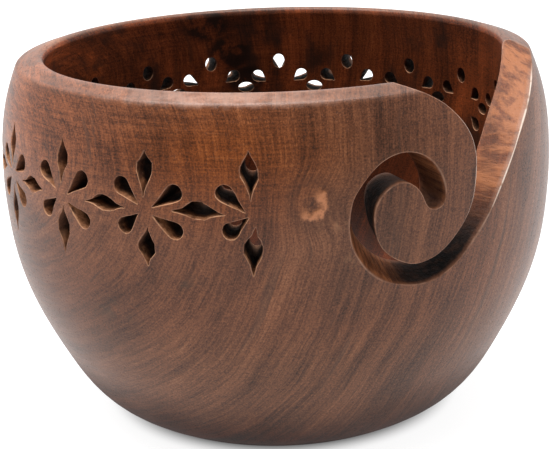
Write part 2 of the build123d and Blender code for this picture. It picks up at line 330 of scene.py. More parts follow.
def lying_kite(seed, centre, reach, up, down):
    x, y = centre
    left = reach + 0.5 * hand(seed)
    right = reach + 0.5 * hand(seed + 0.3)
    up += 0.25 * hand(seed + 0.6)
    down += 0.2 * hand(seed + 0.8)
    lean = 0.4 * hand(seed + 1.0)
    return [(x - left, y + lean), (x + 0.4 * hand(seed + 1.2), y + up), (x + right, y - lean),
            (x + 0.4 * hand(seed + 1.5), y - down)]


def inside_of(outer, across, up, down):
    x = (min(p[0] for p in outer) + max(p[0] for p in outer)) / 2
    y = (outer[1][1] + outer[3][1]) / 2
    if across > up:
        return [(x - across, y), (x, y + up), (x + across, y), (x, y - down)]
    return [(x, y + up), (x + across, y), (x, y - down), (x - across, y)]


def depth_share(distance):
    return (distance - (WALL_OUT - WALL_AT_BAND)) / WALL_AT_BAND


def stretch(outer, inner, distance):
    f = depth_share(distance)
    return [(b[0] + (a[0] - b[0]) * f, b[1] + (a[1] - b[1]) * f) for a, b in zip(outer, inner)]


def sample_polygon(corners, ease, shares=(0.2, 0.4, 0.6, 0.8)):
    """Points round a polygon whose corners are eased a little, starting after corner 0."""
    c = np.array(corners, float)
    n = len(c)
    out = []
    for i in range(n):
        a, b = c[i], c[(i + 1) % n]
        l = np.hypot(*(b - a))
        e = min(ease / l, 0.12)
        for f in (e, *shares, 1 - e):
            out.append(a + (b - a) * f)
        nxt = c[(i + 2) % n]
        l2 = np.hypot(*(nxt - b))
        e2 = min(ease / l2, 0.12)
        out.append(0.25 * (a + (b - a) * (1 - e)) + 0.5 * b + 0.25 * (b + (nxt - b) * e2))
    return np.array(out)


def drop_samples(tip, bulb, radius, ease):
    dx, dy = bulb[0] - tip[0], bulb[1] - tip[1]
    d = math.hypot(dx, dy)
    ux, uy = dx / d, dy / d
    s = radius / d
    c = math.sqrt(1 - s * s)
    t1 = np.array((bulb[0] + radius * (-ux * s - uy * c), bulb[1] + radius * (-uy * s + ux * c)))
    t2 = np.array((bulb[0] + radius * (-ux * s + uy * c), bulb[1] + radius * (-uy * s - ux * c)))
    tip = np.array(tip, float)
    a1 = math.atan2(t1[1] - bulb[1], t1[0] - bulb[0])
    turn = -2 * (math.pi - math.acos(s))
    out = []
    l = np.hypot(*(t1 - tip))
    e = min(ease / l, 0.15)
    for f in (e, 0.3, 0.55, 0.8):
        out.append(tip + (t1 - tip) * f)
    for k in range(11):
        a = a1 + turn * k / 10
        out.append(np.array((bulb[0] + radius * math.cos(a), bulb[1] + radius * math.sin(a))))
    for f in (0.8, 0.55, 0.3, e):
        out.append(tip + (t2 - tip) * f)
    out.append(0.25 * (tip + (t2 - tip) * e) + 0.5 * tip + 0.25 * (tip + (t1 - tip) * e))
    return np.array(out)


def facing_points(azimuth, distance, xy, height=BAND_Z):
    a = math.radians(azimuth)
    x, y = xy[:, 0], xy[:, 1]
    return np.stack([
        distance * math.sin(a) + x * math.cos(a),
        -distance * math.cos(a) + x * math.sin(a),
        height + y,
    ], -1)


holes = []   # each: dict(a=points at the outer plane, b=points at the inner plane, kind)


def add_hole(azimuth, out_xy, in_xy, seed, kind):
    n = len(out_xy)
    # hand-cut waver, worked out round the outline
    t = np.arange(n) / n * 2 * math.pi
    c = out_xy.mean(0)
    d = out_xy - c
    l = np.hypot(*d.T)[:, None]
    w = (0.06 * np.sin(3 * t + 5 * hand(seed + 3.1)) + 0.05 * np.sin(5 * t + 5 * hand(seed + 3.7))
         + 0.04 * np.sin(9 * t + 5 * hand(seed + 4.3)))
    out_xy = out_xy + d / l * w[:, None]
    holes.append({
        "a": facing_points(azimuth, CUTTER_OUT, out_xy),
        "b": facing_points(azimuth, CUTTER_IN, in_xy),
        "az": azimuth, "kind": kind, "seed": seed,
    })


def ellipse_samples(corners, shares=(0.2, 0.4, 0.6, 0.8)):
    """The round opening a diamond cut leaves inside, point for point with sample_polygon."""
    c = np.array(corners, float)
    mid = np.array([(c[:, 0].min() + c[:, 0].max()) / 2, (c[:, 1].min() + c[:, 1].max()) / 2])
    half = (c.max(0) - c.min(0)) / 2
    angles = [math.atan2((p[1] - mid[1]) / half[1], (p[0] - mid[0]) / half[0]) for p in c]
    out = []
    for i in range(4):
        a0, a1 = angles[i], angles[(i + 1) % 4]
        while a1 > a0:
            a1 -= 2 * math.pi
        while a1 < a0 - 2 * math.pi:
            a1 += 2 * math.pi
        for f in (0.06, *shares, 0.94, 1.0):
            a = a0 + (a1 - a0) * f
            out.append(mid + half * np.array([math.cos(a), math.sin(a)]) * 0.97)
    return np.array(out)


def leaf_samples(corners, seed):
    """A diamond as a knife cuts it: hollow sides by the two points, full ones by the belly."""
    c = np.array(corners, float)
    mid = c.mean(0)
    ease = (0.06, 0.16, 0.06, 0.16)
    out = []
    for i in range(4):
        a, b, after = c[i], c[(i + 1) % 4], c[(i + 2) % 4]
        along = b - a
        normal = np.array([along[1], -along[0]]) / np.hypot(*along)
        if np.dot((a + b) / 2 - mid, normal) < 0:
            normal = -normal
        e0, e1 = ease[i], ease[(i + 1) % 4]
        for f in (e0, 0.2, 0.4, 0.6, 0.8, 1 - e1):
            from_tip = f if i % 2 == 0 else 1 - f
            swell = np.interp(from_tip, [0.0, 0.1, 0.25, 0.42, 0.62, 0.8, 1.0], [0.0, -0.12, -0.27, -0.24, 0.0, 0.14, 0.0])
            out.append(a + along * f + normal * (swell + 0.10 * hand(seed + 0.37 * i + 1.9 * f)))
        out.append(0.25 * (a + along * (1 - e1)) + 0.5 * b + 0.25 * (b + (after - b) * e1))
    return np.array(out)


def cut_kite(azimuth, outer, inner, seed, kind):
    face_out = leaf_samples(outer, seed)
    face_in = ellipse_samples(inner)
    f_out, f_in = depth_share(CUTTER_OUT), depth_share(CUTTER_IN)
    add_hole(azimuth, face_in + (face_out - face_in) * f_out, face_in + (face_out - face_in) * f_in,
             seed, kind)


def cut_drop(azimuth, seed, number, side, rise):
    radius = 2.2 + 0.15 * hand(seed + 0.4)
    tip = (side * (1.9 + 0.25 * hand(seed + 0.6)), rise * (0.9 + 0.3 * hand(seed + 0.8)))
    bulb = (side * (7.1 + 0.4 * hand(seed)), rise * (4.6 + 0.35 * hand(seed + 0.2)))
    if (number, side, rise) in OWN_DROPS:
        tip, bulb = OWN_DROPS[(number, side, rise)]
    inner_tip = (bulb[0] + (tip[0] - bulb[0]) * 0.52, bulb[1] + (tip[1] - bulb[1]) * 0.52)
    rows = []
    for distance in (CUTTER_OUT, CUTTER_IN):
        f = depth_share(distance)
        t = (inner_tip[0] + (tip[0] - inner_tip[0]) * f, inner_tip[1] + (tip[1] - inner_tip[1]) * f)
        rows.append(drop_samples(t, bulb, 1.9 + (radius - 1.9) * f, 0.35))
    add_hole(azimuth, rows[0], rows[1], seed, "drop")


for number, az in enumerate(FLOWERS):
    seed = 10.0 * (number + 1)
    sides = (-1, 1)
    if number == 0:
        sides = (-1,)
    if number == len(FLOWERS) - 1:
        sides = (1,)
    top = OWN_DIAMONDS.get((number, "top")) or kite(seed, (0, 9.2), 5.6, 6.4, 2.15)
    bottom = OWN_DIAMONDS.get((number, "bottom")) or kite(seed + 2, (0, -9.0), 5.8, 6.0, 2.3)
    cut_kite(az, top, inside_of(top, 1.9, 2.3, 2.6), seed, "top")
    cut_kite(az, bottom, inside_of(bottom, 1.9, 2.3, 2.6), seed + 2, "bottom")
    for side in sides:
        cut_drop(az, seed + 4 + side, number, side, 1)
        cut_drop(az, seed + 7 + side, number, side, -1)
    if number + 1 < len(FLOWERS):
        link = OWN_LINKS.get(number) or lying_kite(seed + 9, (0, 0.3), 6.7, 2.5, 1.9)
        cut_kite((az + FLOWERS[number + 1]) / 2, link, inside_of(link, 2.6, 1.7, 1.6), seed + 9, "link")


def smooth(rows, steps):
    out = []
    for i in range(len(rows) - 1):
        p0, p1, p2, p3 = rows[max(i - 1, 0)], rows[i], rows[i + 1], rows[min(i + 2, len(rows) - 1)]
        for k in range(steps):
            t = k / steps
            out.append(tuple(
                0.5 * (2 * b + (c - a) * t + (2 * a - 5 * b + 4 * c - d) * t ** 2
                       + (3 * b - a - 3 * c + d) * t ** 3)
                for a, b, c, d in zip(p0, p1, p2, p3)))
    out.append(rows[-1])
    return out


def slot_lines(rows):
    rows = np.array(rows, float)
    az, z, turn, rise = rows.T
    r_out = np.interp(z, [p[1] for p in OUTER], [p[0] for p in OUTER])
    r_in = r_out - WALL_AT_BAND
    f = math.radians(SLOT_FACING)
    a0, a1 = np.radians(az), np.radians(az + turn)
    p0 = np.stack([r_out * np.sin(a0), -r_out * np.cos(a0), z], -1)
    p1 = np.stack([r_in * np.sin(a1), -r_in * np.cos(a1), z + rise], -1)
    n = np.array([math.sin(f), -math.cos(f), 0.0])
    d0, d1 = p0 @ n, p1 @ n
    res = []
    for distance in (SLOT_OUT, SLOT_IN):
        t = (distance - d0) / (d1 - d0)
        res.append(p0 + (p1 - p0) * t[:, None])
    return res


def make_slot_columns():
    rows = smooth(SLOT_HOOK_SIDE + SLOT_TIP + SLOT_BOWL_SIDE, 60)
    a, b = slot_lines(rows)
    lo, li, ok = wall_hits(a, b, 500)
    good = np.nonzero(ok)[0]
    i0, i1 = good[0], good[-1]
    a, b, lo, li = a[i0:i1 + 1], b[i0:i1 + 1], lo[i0:i1 + 1], li[i0:i1 + 1]
    po = a + (b - a) * lo[:, None]
    pi = a + (b - a) * li[:, None]
    length = np.linalg.norm(po - pi, axis=1)
    # choose columns by the longer of the two edges' steps, closer together at the two ends
    chosen = [0]
    travel = 0.0
    for k in range(1, len(po)):
        travel += max(np.linalg.norm(po[k] - po[k - 1]), np.linalg.norm(pi[k] - pi[k - 1]))
        step = 0.8 if length[k] > 6 else 0.45
        if travel >= step:
            chosen.append(k)
            travel = 0.0
    if chosen[-1] != len(po) - 1:
        chosen.append(len(po) - 1)
    c = np.array(chosen)
    return po[c], pi[c]


slot_out, slot_in = make_slot_columns()


# =====================================================================================
# The bowl's mesh
# =====================================================================================
R0 = 70.0                       # radius at which the wall is unrolled
SEAM = math.radians(6.0)        # plain wood, between the first flower and the hook
COLUMNS = 252
theta_grid = SEAM - 2 * math.pi + 2 * math.pi * np.arange(COLUMNS + 1) / COLUMNS

verts = []
faces = []
kinds = []        # per vertex: 0 plain surface, 1 eased edge, 2 cut wall
vert_theta = []
vert_s = []


scorch_and_shade_list = []        # per vertex: how dark the cut is painted, partly scorch and partly painted shade


def add_verts(points, kind, theta=None, s=None, scorch_and_shade=0.0):
    first = len(verts)
    scorch_and_shade_list.extend([scorch_and_shade] * len(points) if np.isscalar(scorch_and_shade) else list(scorch_and_shade))
    verts.extend(points.tolist())
    kinds.extend([kind] * len(points) if np.isscalar(kind) else list(kind))
    if theta is None:
        vert_theta.extend([None] * len(points))
        vert_s.extend([None] * len(points))
    else:
        vert_theta.extend(theta.tolist())
        vert_s.extend(s.tolist())
    return first


def unwrapped(theta):
    """Azimuths brought to the unrolled wall's own turn."""
    t = np.array(theta, float)
    while (t > SEAM).any():
        t = np.where(t > SEAM, t - 2 * math.pi, t)
    while (t < SEAM - 2 * math.pi).any():
        t = np.where(t < SEAM - 2 * math.pi, t + 2 * math.pi, t)
    return t


def loop_normals(uv, smoothing=1):
    nxt, prv = np.roll(uv, -1, 0), np.roll(uv, 1, 0)
    e1 = (nxt - uv) / (np.linalg.norm(nxt - uv, axis=1)[:, None] + 1e-9)
    e0 = (uv - prv) / (np.linalg.norm(uv - prv, axis=1)[:, None] + 1e-9)
    t = e0 + e1
    t /= np.linalg.norm(t, axis=1)[:, None] + 1e-9
    area = 0.5 * np.sum(uv[:, 0] * nxt[:, 1] - nxt[:, 0] * uv[:, 1])
    n = np.stack([t[:, 1], -t[:, 0]], -1)
    if area < 0:
        n = -n
    for _ in range(smoothing):
        n = n + 0.5 * (np.roll(n, 1, 0) + np.roll(n, -1, 0))
        n /= np.linalg.norm(n, axis=1)[:, None]
    return n


cdt_points = []      # (u, v)
cdt_edges = []
cdt_loops = []       # index lists into cdt_points, one per hole in the unrolled wall
cdt_vertex = []      # mesh vertex of each loop point


def add_loop(theta, s, ease):
    """An edge loop in the unrolled wall, eased outwards. Gives the mesh vertices of the eased loop."""
    uv = np.stack([unwrapped(theta) * R0, s], -1)
    n = loop_normals(uv)
    off = uv + n * ease[:, None]
    first = len(cdt_points)
    cdt_points.extend(off.tolist())
    idx = list(range(first, first + len(off)))
    cdt_edges.extend([(idx[k], idx[(k + 1) % len(idx)]) for k in range(len(idx))])
    nxt = np.roll(off, -1, 0)
    turns_left = np.sum(off[:, 0] * nxt[:, 1] - nxt[:, 0] * off[:, 1]) > 0
    cdt_loops.append(idx if turns_left else idx[::-1])
    th, sv = off[:, 0] / R0, off[:, 1]
    base = add_verts(place(th, sv), 0, th, sv)
    cdt_vertex.extend(range(base, base + len(off)))
    return np.arange(base, base + len(off)), place(th, sv)


def bridge(col_a, col_b):
    """Quads between two equal runs of vertex indices, going round."""
    n = len(col_a)
    for k in range(n):
        j = (k + 1) % n
        faces.append((col_a[k], col_a[j], col_b[j], col_b[k]))


def edge_wave(n, seed, amount):
    t = np.arange(n) / n * 2 * math.pi
    return 1.0 + amount * (0.5 * np.sin(2 * t + 6 * hand(seed)) + 0.3 * np.sin(5 * t + 6 * hand(seed + 1.3))
                           + 0.3 * np.sin(11 * t + 6 * hand(seed + 2.1)))


def cut_through(po, pi, so_idx, so_pts, si_idx, si_pts, ease_o, ease_i, inner_steps, scorch_and_shade=0.0, scorch_shade_top=0.45):
    """The walls of one cut: eased outer edge, wall, eased inner edge."""
    scorch_and_shade = np.broadcast_to(np.asarray(scorch_and_shade, float), (len(po),))
    d = pi - po
    length = np.linalg.norm(d, axis=1)[:, None]
    d = d / length
    eo = np.minimum(ease_o[:, None], 0.3 * length)
    ei = np.minimum(ease_i[:, None], 0.3 * length)
    wo, wi = po + d * eo, pi - d * ei
    rings = [so_idx]
    for t in (0.3, 0.65):
        p = (1 - t) ** 2 * so_pts + 2 * t * (1 - t) * po + t ** 2 * wo
        rings.append(np.arange(add_verts(p, 1, scorch_and_shade=scorch_and_shade * scorch_shade_top), len(verts)))
    rings.append(np.arange(add_verts(wo, 1.5, scorch_and_shade=scorch_and_shade * scorch_shade_top), len(verts)))
    for k in range(1, inner_steps + 1):
        t = k / (inner_steps + 1)
        rings.append(np.arange(add_verts(wo + (wi - wo) * t, 2, scorch_and_shade=scorch_and_shade), len(verts)))
    rings.append(np.arange(add_verts(wi, 1.5, scorch_and_shade=scorch_and_shade), len(verts)))
    for t in (0.65, 0.3):
        p = (1 - t) ** 2 * si_pts + 2 * t * (1 - t) * pi + t ** 2 * wi
        rings.append(np.arange(add_verts(p, 1, scorch_and_shade=scorch_and_shade), len(verts)))
    rings.append(si_idx)
    return rings


def add_rings(rings, closed=True):
    n = len(rings[0])
    for a, b in zip(rings, rings[1:]):
        for k in range(n if closed else n - 1):
            j = (k + 1) % n
            faces.append((int(a[k]), int(a[j]), int(b[j]), int(b[k])))


for number, h in enumerate(holes):
    lo, li, ok = wall_hits(h["a"], h["b"] + (h["b"] - h["a"]) * 0.12, 300)
    b = h["b"] + (h["b"] - h["a"]) * 0.12
    po = h["a"] + (b - h["a"]) * lo[:, None]
    pi = h["a"] + (b - h["a"]) * li[:, None]
    n = len(po)
    eo = 0.26 * edge_wave(n, h["seed"] + 0.7, 0.5)
    ei = 0.22 * edge_wave(n, h["seed"] + 0.9, 0.5)
    th, s = to_domain(po, False)
    so_idx, so_pts = add_loop(th, s, eo)
    th, s = to_domain(pi, True)
    si_idx, si_pts = add_loop(th, s, ei)
    add_rings(cut_through(po, pi, so_idx, so_pts, si_idx, si_pts, eo, ei, 2, 1.0, 0.90))

# the hook slot: one loop in the unrolled wall, which goes over the rim at both ends
n_slot = len(slot_out)
loop_p = np.vstack([slot_out, slot_in[::-1]])
th, s = to_domain(loop_p)
wave = 1 + 0.25 * np.sin(np.arange(2 * n_slot) * 0.31) + 0.2 * np.sin(np.arange(2 * n_slot) * 0.13 + 1.0)
slot_ease = 0.34 * wave
loop_idx, loop_pts = add_loop(th, s, slot_ease)
so_idx, so_pts = loop_idx[:n_slot], loop_pts[:n_slot]
si_idx, si_pts = loop_idx[n_slot:][::-1], loop_pts[n_slot:][::-1]
# darkened cut faces, partly scorch and partly painted shade on the faces turned away from the light: under the disc,
# and up the first of the right side
slot_az = np.degrees(np.arctan2(slot_out[:, 0], -slot_out[:, 1]))
on_bowl = np.arange(n_slot) > n_slot * 0.47
slot_scorch_and_shade = np.where(
    on_bowl & (slot_out[:, 2] < 72),
    np.interp(slot_az, [12.0, 20.0, 24.0, 36.0, 42.0, 47.0], [0.0, 0.05, 0.7, 0.85, 0.55, 0.1]),
    np.where(on_bowl & (slot_az < 33), 0.60,
             np.where(on_bowl, 0.0, np.where(slot_az < 20.5, 0.85, np.where(slot_out[:, 2] < 80, 0.45, 0.2)))))
slot_scorch_and_shade = np.convolve(np.pad(slot_scorch_and_shade, 4, mode="edge"), np.ones(9) / 9, mode="valid")
slot_rings = cut_through(slot_out, slot_in, so_idx, so_pts, si_idx, si_pts,
                         slot_ease[:n_slot], slot_ease[n_slot:][::-1], 7, slot_scorch_and_shade)
add_rings(slot_rings, closed=False)
faces.append(tuple(int(r[0]) for r in slot_rings))
faces.append(tuple(int(r[-1]) for r in slot_rings)[::-1])

# the unrolled wall
s_low_out = float(np.interp(47.0, OZ, PS[_o]))
s_low_in = float(np.interp(-47.0, -PZ[_i], PS[_i]))
rows_v = list(np.linspace(s_low_out, np.interp(97.5, OZ, PS[_o]), 30))
s_corner = rows_v[-1]
s_inner_lip = float(np.interp(-96.0, -PZ[_i], PS[_i]))
rows_v += list(np.linspace(s_corner, s_inner_lip, 24))[1:]
rows_v += list(np.linspace(s_inner_lip, s_low_in, 30))[1:]
rows_v = np.array(rows_v)
gu, gv = np.meshgrid(theta_grid * R0, rows_v)
grid = np.stack([gu.ravel(), gv.ravel()], -1)
border = ((gu == theta_grid[0] * R0) | (gu == theta_grid[-1] * R0) | (gv == rows_v[0]) | (gv == rows_v[-1])).ravel()
loops_uv = np.array(cdt_points)
near = np.zeros(len(grid), bool)
order = np.argsort(loops_uv[:, 0])
lu = loops_uv[order]
for k in range(0, len(grid), 400):
    block = grid[k:k + 400]
    d2 = ((block[:, None, :] - lu[None]) ** 2).sum(-1)
    near[k:k + 400] = (d2 < 0.75 ** 2).any(1)
grid = grid[border | ~near]
first = len(cdt_points)
all_points = [Vector(p) for p in cdt_points] + [Vector(p) for p in grid.tolist()]
res = geometry.delaunay_2d_cdt(all_points, cdt_edges, cdt_loops, 0, 1e-7, True)
tri_verts, _, tri_faces, orig_v, _, orig_f = res
th = np.array([p[0] / R0 for p in tri_verts])
sv = np.array([p[1] for p in tri_verts])
mesh_index = np.full(len(tri_verts), -1)
for k, src in enumerate(orig_v):
    known = [i for i in src if i < first]
    if known:
        mesh_index[k] = cdt_vertex[known[0]]
print("cdt", len(tri_verts), len(tri_faces), sum(1 for o in orig_f if o))
used = sorted({v for f, o in zip(tri_faces, orig_f) if not o for v in f})
seam_rows = {}
ring_low, ring_high = [None] * COLUMNS, [None] * COLUMNS
for k in used:
    if mesh_index[k] >= 0:
        continue
    on_left = abs(th[k] - theta_grid[0]) < 1e-4
    on_right = abs(th[k] - theta_grid[-1]) < 1e-4
    if on_left or on_right:
        key = int(np.argmin(np.abs(rows_v - sv[k])))
        if key in seam_rows:
            mesh_index[k] = seam_rows[key]
            continue
    mesh_index[k] = add_verts(place(th[k:k + 1], sv[k:k + 1]), 0, th[k:k + 1], sv[k:k + 1])
    if on_left or on_right:
        seam_rows[key] = mesh_index[k]
for k in used:
    for target, v in ((ring_low, rows_v[0]), (ring_high, rows_v[-1])):
        if abs(sv[k] - v) < 1e-2:
            j = int(round((th[k] - theta_grid[0]) / (2 * math.pi) * COLUMNS)) % COLUMNS
            target[j] = int(mesh_index[k])
for f, o in zip(tri_faces, orig_f):
    if not o:
        faces.append(tuple(int(mesh_index[v]) for v in f))

# plain turned rings below the pierced band, outside and inside
th_ring = theta_grid[:-1]


def rings_to_centre(start_ring, s_values, centre_s):
    prev = np.array(start_ring)
    for s in s_values:
        sv_ = np.full(COLUMNS, s)
        cur = np.arange(add_verts(place(th_ring, sv_), 0, th_ring, sv_), len(verts))
        bridge(prev, cur)
        prev = cur
    c = add_verts(place(np.array([0.0]), np.array([centre_s])), 0, np.array([0.0]), np.array([centre_s]))
    for k in range(COLUMNS):
        faces.append((int(prev[k]), int(prev[(k + 1) % COLUMNS]), c))


foot = 44.0
down_out = list(np.arange(s_low_out - 2.6, foot + 2.5, -2.6)) + [foot + 1.6, foot + 0.8, foot + 0.4, foot, foot - 0.4,
                                                              foot - 0.8, foot - 1.6]
down_out += list(np.arange(foot - 4.5, 1.0, -3.6))
rings_to_centre(ring_low, down_out, 0.0)
down_in = list(np.arange(s_low_in + 2.6, S_MAX - 1.0, 2.7))
rings_to_centre(ring_high, down_in, S_MAX)

mesh = bpy.data.meshes.new("bowl_wood")
mesh.from_pydata([[c * 0.001 for c in v] for v in verts], [], [list(map(int, f)) for f in faces])
mesh.validate(verbose=False)
obj = bpy.data.objects.new("bowl_wood", mesh)
scene.collection.objects.link(obj)

import bmesh
bm = bmesh.new()
bm.from_mesh(mesh)
bmesh.ops.recalc_face_normals(bm, faces=bm.faces)
open_edges = [e for e in bm.edges if not e.is_manifold]
print("bowl: verts", len(bm.verts), "faces", len(bm.faces), "open or non-manifold edges", len(open_edges))
for e in open_edges[:10]:
    print("   ", [tuple(round(c * 1000, 2) for c in v.co) for v in e.verts], len(e.link_faces))
bm.to_mesh(mesh)
bm.free()

for p in mesh.polygons:
    p.use_smooth = True

kind = np.array(kinds, np.float32)
cut = mesh.attributes.new("cut", "FLOAT", "POINT")
cut.data.foreach_set("value", np.clip(kind - 1.0, 0, 1).astype(np.float32))
edge = mesh.attributes.new("edge", "FLOAT", "POINT")
edge.data.foreach_set("value", np.select([(kind > 0.5) & (kind < 1.2), (kind > 1.2) & (kind < 1.8)], [1.0, 0.12],
                                         0.0).astype(np.float32))
inside = mesh.attributes.new("inside", "FLOAT", "POINT")
s_all = np.array([-1.0 if v is None else v for v in vert_s])
co = np.array(verts)
r_all = np.hypot(co[:, 0], co[:, 1])
ins = np.where(s_all >= 0, (s_all > S_TOP + 1.5).astype(float),
               np.clip((np.interp(co[:, 2], OZ, OR) - r_all) / 10.0, 0, 1))
inside.data.foreach_set("value", ins.astype(np.float32))

# per-vertex darkness of the cuts: scorch, and painted shade in the slot
scorch_and_shade = mesh.attributes.new("scorch_and_shade", "FLOAT", "POINT")
scorch_and_shade.data.foreach_set("value", np.array(scorch_and_shade_list, np.float32))

vn = np.zeros(len(verts) * 3, np.float32)
mesh.vertex_normals.foreach_get("vector", vn)
normals = vn.reshape(-1, 3).astype(float)
plain = s_all >= 0
th_all = np.array([0.0 if v is None else v for v in vert_theta])
normals[plain] = surface_normal(th_all[plain], s_all[plain])
mesh.normals_split_custom_set_from_vertices(normals.tolist())

# =====================================================================================
# Rosewood: a solid texture, so the grain runs through the wall and shows on every cut
# =====================================================================================
class Graph:
    """Short names for the shader nodes used here. Sockets and plain numbers mix freely."""

    def __init__(self, tree):
        self.tree = tree

    def link(self, value, socket):
        if isinstance(value, bpy.types.NodeSocket):
            self.tree.links.new(value, socket)
        else:
            socket.default_value = value

    def math(self, op, a, b=0.0, clamp=False):
        n = self.tree.nodes.new("ShaderNodeMath")
        n.operation, n.use_clamp = op, clamp
        self.link(a, n.inputs[0])
        self.link(b, n.inputs[1])
        return n.outputs[0]

    def vec(self, op, a, b=(0, 0, 0)):
        n = self.tree.nodes.new("ShaderNodeVectorMath")
        n.operation = op
        self.link(a, n.inputs[0])
        if op == "SCALE":
            self.link(b, n.inputs[3])
        else:
            self.link(b, n.inputs[1])
        return n.outputs[1] if op in ("LENGTH", "DOT_PRODUCT", "DISTANCE") else n.outputs[0]

    def split(self, v):
        n = self.tree.nodes.new("ShaderNodeSeparateXYZ")
        self.link(v, n.inputs[0])
        return n.outputs[0], n.outputs[1], n.outputs[2]

    def join(self, x, y, z):
        n = self.tree.nodes.new("ShaderNodeCombineXYZ")
        self.link(x, n.inputs[0])
        self.link(y, n.inputs[1])
        self.link(z, n.inputs[2])
        return n.outputs[0]

    def noise(self, v, scale=1.0, detail=2.0, rough=0.5, distortion=0.0, color=False):
        n = self.tree.nodes.new("ShaderNodeTexNoise")
        self.link(v, n.inputs["Vector"])
        n.inputs["Scale"].default_value = scale
        n.inputs["Detail"].default_value = detail
        n.inputs["Roughness"].default_value = rough
        n.inputs["Distortion"].default_value = distortion
        return n.outputs[1] if color else n.outputs[0]

    def cells(self, v, scale=1.0, randomness=1.0):
        n = self.tree.nodes.new("ShaderNodeTexVoronoi")
        n.feature = "F1"
        self.link(v, n.inputs["Vector"])
        n.inputs["Scale"].default_value = scale
        n.inputs["Randomness"].default_value = randomness
        return n.outputs["Distance"], n.outputs["Color"]

    def span(self, v, lo, hi, to_lo=0.0, to_hi=1.0, smooth=True):
        n = self.tree.nodes.new("ShaderNodeMapRange")
        n.interpolation_type = "SMOOTHSTEP" if smooth else "LINEAR"
        n.clamp = True
        self.link(v, n.inputs["Value"])
        n.inputs["From Min"].default_value = lo
        n.inputs["From Max"].default_value = hi
        n.inputs["To Min"].default_value = to_lo
        n.inputs["To Max"].default_value = to_hi
        return n.outputs["Result"]

    def ramp(self, v, stops):
        n = self.tree.nodes.new("ShaderNodeValToRGB")
        self.link(v, n.inputs[0])
        r = n.color_ramp
        while len(r.elements) > 2:
            r.elements.remove(r.elements[-1])
        r.elements[0].position, r.elements[0].color = stops[0][0], (*stops[0][1], 1)
        r.elements[1].position, r.elements[1].color = stops[-1][0], (*stops[-1][1], 1)
        for pos, col in stops[1:-1]:
            e = r.elements.new(pos)
            e.color = (*col, 1)
        return n.outputs[0]

    def mix(self, f, a, b, kind="MIX"):
        n = self.tree.nodes.new("ShaderNodeMix")
        n.data_type, n.blend_type, n.clamp_factor = "RGBA", kind, True
        self.link(f, n.inputs[0])
        self.link(a if isinstance(a, bpy.types.NodeSocket) else (*a, 1), n.inputs[6])
        self.link(b if isinstance(b, bpy.types.NodeSocket) else (*b, 1), n.inputs[7])
        return n.outputs[2]

    def attribute(self, name):
        n = self.tree.nodes.new("ShaderNodeAttribute")
        n.attribute_type, n.attribute_name = "GEOMETRY", name
        return n.outputs["Fac"]

    def blob(self, p, centre, radii):
        """1 at a place in the wood, falling smoothly to 0 at the given reaches."""
        d = self.vec("LENGTH", self.vec("DIVIDE", self.vec("SUBTRACT", p, centre), radii))
        return self.span(d, 0.0, 1.0, 1.0, 0.0)


mat = bpy.data.materials.new("rosewood_oiled")
mat.use_nodes = True
tree = mat.node_tree
bsdf = tree.nodes["Principled BSDF"]
g = Graph(tree)
coords = tree.nodes.new("ShaderNodeTexCoord").outputs["Object"]
P = g.vec("SCALE", coords, 1000.0)                       # millimetres
px, py, pz = g.split(P)
a_cut, a_edge, a_in, a_scorch_shade = (g.attribute(k) for k in ("cut", "edge", "inside", "scorch_and_shade"))

# the tree's rings run round an axis along Y, beside the bowl's left shoulder
PITH_X, PITH_Z = -80.0, 84.0
warp1 = g.vec("SCALE", g.vec("SUBTRACT", g.noise(P, 0.014, 1.0, 0.5, color=True), (0.5, 0.5, 0.5)), 13.0)
warp2 = g.vec("SCALE", g.vec("SUBTRACT", g.noise(P, 0.06, 2.0, 0.5, color=True), (0.5, 0.5, 0.5)), 2.4)
Q = g.vec("ADD", g.vec("ADD", P, warp1), warp2)
qx, qy, qz = g.split(Q)
KNOT = (8.0, -75.3, 76.4)
knot_d = g.vec("LENGTH", g.vec("MULTIPLY", g.vec("SUBTRACT", P, KNOT), (1.0, 0.35, 1.0)))
dx = g.math("SUBTRACT", qx, PITH_X)
dz = g.math("SUBTRACT", qz, PITH_Z)
d0 = g.math("SQRT", g.math("ADD", g.math("MULTIPLY", dx, dx), g.math("MULTIPLY", dz, dz)))
swirl = g.math("MULTIPLY", g.span(knot_d, 1.0, 13.0, 1.0, 0.0), 4.0)
D = g.math("ADD", d0, swirl)
ang = g.math("ARCTAN2", dz, dx)


def rings(across, along, around, shift=0.0, detail=3.0, rough=0.55):
    """Noise drawn out along the rings and the trunk."""
    v = g.join(g.math("ADD", g.math("MULTIPLY", D, across), shift), g.math("MULTIPLY", qy, along),
               g.math("MULTIPLY", ang, around))
    return g.noise(v, 1.0, detail, rough)


broad = rings(0.085, 0.008, 1.1, 3.0, 2.0)
streak = rings(0.26, 0.010, 2.0, 17.0, 3.0, 0.6)
fine = rings(1.0, 0.03, 3.2, 41.0, 3.0, 0.62)
hair = rings(3.2, 0.09, 12.0, 63.0, 2.0, 0.6)
# lathe and sanding lines, level round the bowl
level = g.noise(g.join(g.math("MULTIPLY", px, 0.07), g.math("MULTIPLY", py, 0.07), g.math("MULTIPLY", pz, 1.5)),
                1.0, 3.0, 0.6)
level_fine = g.noise(g.join(g.math("MULTIPLY", px, 0.16), g.math("MULTIPLY", py, 0.16),
                            g.math("MULTIPLY", pz, 5.0)), 1.0, 2.0, 0.6)
